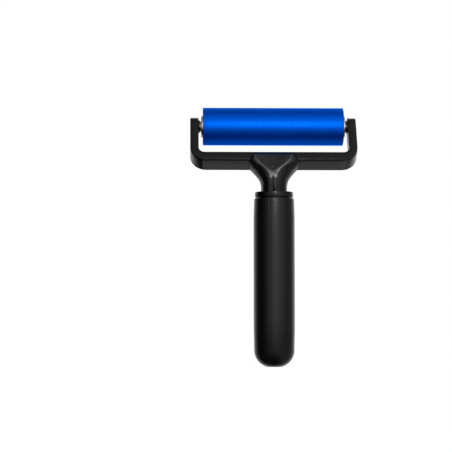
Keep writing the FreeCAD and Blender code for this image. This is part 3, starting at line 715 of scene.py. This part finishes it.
def turned_metal(name, dark, light, roughness, pitch=0.25, depth=0.004):
    """Metal with fine turning rings about the axle."""
    material, shader = new_material(name, light, roughness, 1.0)
    vector = place_texture(material, (PER_MM, PER_MM, PER_MM), AXLE)
    split = add_node(material, "ShaderNodeSeparateXYZ")
    link(material, vector, split.inputs["Vector"])
    flat = add_node(material, "ShaderNodeCombineXYZ")
    link(material, split.outputs["Y"], flat.inputs["Y"])
    link(material, split.outputs["Z"], flat.inputs["Z"])
    length = add_node(material, "ShaderNodeVectorMath", operation="LENGTH")
    link(material, flat.outputs["Vector"], length.inputs[0])
    both = add_node(material, "ShaderNodeCombineXYZ")
    link(material, length.outputs["Value"], both.inputs["X"])
    link(material, split.outputs["X"], both.inputs["Y"])
    rings = noise_value(material, both.outputs["Vector"], 1 / pitch, 3.0, 0.6)
    link(material, blend(material, rings, dark, light), shader.inputs["Base Color"])
    link(material, remap(material, rings, roughness * 0.8, roughness * 1.25), shader.inputs["Roughness"])
    add_bump(material, shader, rings, depth * MM)
    return material


def polished_steel():
    """Bright steel of the balls, with a faint uneven film."""
    material, shader = new_material("ball_steel", (0.78, 0.78, 0.78), 0.08, 1.0)
    vector = place_texture(material, (PER_MM, PER_MM, PER_MM))
    film = noise_value(material, vector, 0.8, 3.0, 0.5)
    link(material, remap(material, film, 0.06, 0.14), shader.inputs["Roughness"])
    return material


MATERIALS = {
    "grip_plastic": grip_plastic(),
    "frame_plastic": yoke_plastic(),
    "blue_rubber": blue_rubber(),
    "aluminium": turned_metal("aluminium", (0.68, 0.69, 0.70), (0.84, 0.85, 0.86), 0.32),
    "shaft_steel": turned_metal("shaft_steel", (0.48, 0.48, 0.48), (0.62, 0.62, 0.62), 0.22, 0.15),
    "spacer_steel": turned_metal("spacer_steel", (0.34, 0.31, 0.28), (0.52, 0.48, 0.44), 0.35),
    "bearing_steel": turned_metal("bearing_steel", (0.70, 0.67, 0.63), (0.90, 0.86, 0.81), 0.25, 0.2),
    "ball_steel": polished_steel(),
    "cage_steel": turned_metal("cage_steel", (0.46, 0.46, 0.45), (0.60, 0.60, 0.58), 0.34, 0.3),
    "shield_steel": turned_metal("shield_steel", (0.60, 0.57, 0.52), (0.78, 0.75, 0.70), 0.3, 0.35, 0.006),
}


def dress(piece, slot):
    """Give a piece the material of a slot and no other."""
    piece.data.materials.clear()
    piece.data.materials.append(MATERIALS[slot])


for entry in frame["record"]["subparts"]:
    dress(frame["nodes"][entry["node"]], entry["material_slot"])

for piece, body, node, slot in (
        (make_grip(), "yoke", "grip", "grip_plastic"),
        (make_yoke(), "yoke", "yoke", "frame_plastic"),
        (make_cover(), "roller", "roller_cover", "blue_rubber")):
    dress(piece, slot)
    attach(piece, body)
    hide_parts(node)


# ---------------------------------------------------------------- floor, light and camera
FLOOR_HALF = 40.0
FLOOR_GLOW = 0.66


def make_floor():
    """Plain white floor that glows a little, so that it comes out white; reflections don't show it."""
    bm = bmesh.new()
    bmesh.ops.create_grid(bm, x_segments=1, y_segments=1, size=FLOOR_HALF)
    floor = piece_from("floor", bm)
    material, shader = new_material("floor_white", (0.9, 0.9, 0.9), 0.9, 0.0, 0.0)
    shader.inputs["Emission Color"].default_value = (1, 1, 1, 1)
    shader.inputs["Emission Strength"].default_value = FLOOR_GLOW
    floor.data.materials.append(material)
    floor.visible_glossy = False


def area_light(name, place, target, width, height, power):
    """Rectangular lamp aimed at a target, which the camera doesn't see."""
    data = bpy.data.lights.new(name, "AREA")
    data.shape = "RECTANGLE"
    data.size = width
    data.size_y = height
    data.energy = power
    lamp = bpy.data.objects.new(name, data)
    lamp.location = place
    lamp.rotation_euler = (Vector(target) - Vector(place)).to_track_quat("-Z", "Y").to_euler()
    lamp.visible_camera = False
    bpy.context.scene.collection.objects.link(lamp)


FLAG_HALF_WIDTH = 0.5
FLAG_HEIGHT = 0.026
FLAG_MIDDLE = (0, -0.13, 0.003)
# Each glow: its name, its direction, the cosines where it starts and is full, and its radiance.
GLOWS = [
    ("backdrop", (0, 1, 0.15), 0.36, 0.85, 0.8),
    ("front", (0.085, -0.92, 0.4), 0.3, 1.05, 0.52),
    ("window", (0.07, -0.98, 0.2), 0.88, 1.0, 0.5),
    ("right", (1, 0.1, 0.15), 0.0, 0.55, 0.22),
    ("above", (0, 0.6, 1), 0.45, 0.95, 0.08),
]


def make_flag():
    """Narrow black card low in front, unseen by the camera: it darkens the reflections near the butt."""
    bm = bmesh.new()
    upright = Matrix.Rotation(math.pi / 2, 4, "X") @ Matrix.Diagonal((1, FLAG_HEIGHT, 1, 1))
    bmesh.ops.create_grid(bm, x_segments=1, y_segments=1, size=FLAG_HALF_WIDTH, matrix=upright)
    flag = piece_from("flag", bm)
    flag.location = FLAG_MIDDLE
    material, _ = new_material("flag_black", (0, 0, 0), 1.0, 0.0, 0.0)
    flag.data.materials.append(material)
    flag.visible_camera = False
    flag.visible_shadow = False


def make_world():
    """Light and reflections see soft glows with dark between them; the camera sees plain white."""
    world = bpy.data.worlds.new("studio")
    bpy.context.scene.world = world
    world.use_nodes = True
    nodes = world.node_tree.nodes
    links = world.node_tree.links
    direction = nodes.new("ShaderNodeTexCoord").outputs["Generated"]
    total = None
    for name, axis, start, full, radiance in GLOWS:
        facing = nodes.new("ShaderNodeVectorMath")
        facing.operation = "DOT_PRODUCT"
        facing.name = name
        facing.inputs[1].default_value = Vector(axis).normalized()
        links.new(direction, facing.inputs[0])
        glow = nodes.new("ShaderNodeMapRange")
        glow.interpolation_type = "SMOOTHSTEP"
        glow.inputs["From Min"].default_value = start
        glow.inputs["From Max"].default_value = full
        glow.inputs["To Max"].default_value = radiance
        links.new(facing.outputs["Value"], glow.inputs["Value"])
        if total is None:
            total = glow.outputs["Result"]
        else:
            add = nodes.new("ShaderNodeMath")
            links.new(total, add.inputs[0])
            links.new(glow.outputs["Result"], add.inputs[1])
            total = add.outputs["Value"]
    soft = nodes["Background"]
    soft.inputs["Color"].default_value = (1, 1, 1, 1)
    links.new(total, soft.inputs["Strength"])
    white = nodes.new("ShaderNodeBackground")
    white.inputs["Color"].default_value = (1, 1, 1, 1)
    path = nodes.new("ShaderNodeLightPath")
    mix = nodes.new("ShaderNodeMixShader")
    links.new(path.outputs["Is Camera Ray"], mix.inputs["Fac"])
    links.new(soft.outputs["Background"], mix.inputs[1])
    links.new(white.outputs["Background"], mix.inputs[2])
    links.new(mix.outputs["Shader"], nodes["World Output"].inputs["Surface"])


def make_camera():
    """Long lens a little over a metre away, near the height of the butt and turned slightly up."""
    data = bpy.data.cameras.new("camera")
    data.sensor_width = 36
    data.lens = 143.8
    data.clip_end = 50
    camera = bpy.data.objects.new("camera", data)
    camera.location = (-64.7 * MM, -1265 * MM, 10.0 * MM)
    camera.rotation_euler = Euler((math.radians(90 + 4.011), 0, math.radians(-1.397)), "XYZ")
    bpy.context.scene.collection.objects.link(camera)
    bpy.context.scene.camera = camera


make_floor()
make_flag()
make_world()
make_camera()
area_light("softbox", (0.022, -0.3, 0.215), (0, 0, 0.14), 0.06, 0.045, 0.105)
area_light("under_card", (0.015, 0.052, 0.03), (0.015, 0.052, 1), 0.2, 0.04, 0.0155)
bpy.context.scene.view_settings.view_transform = "Standard"
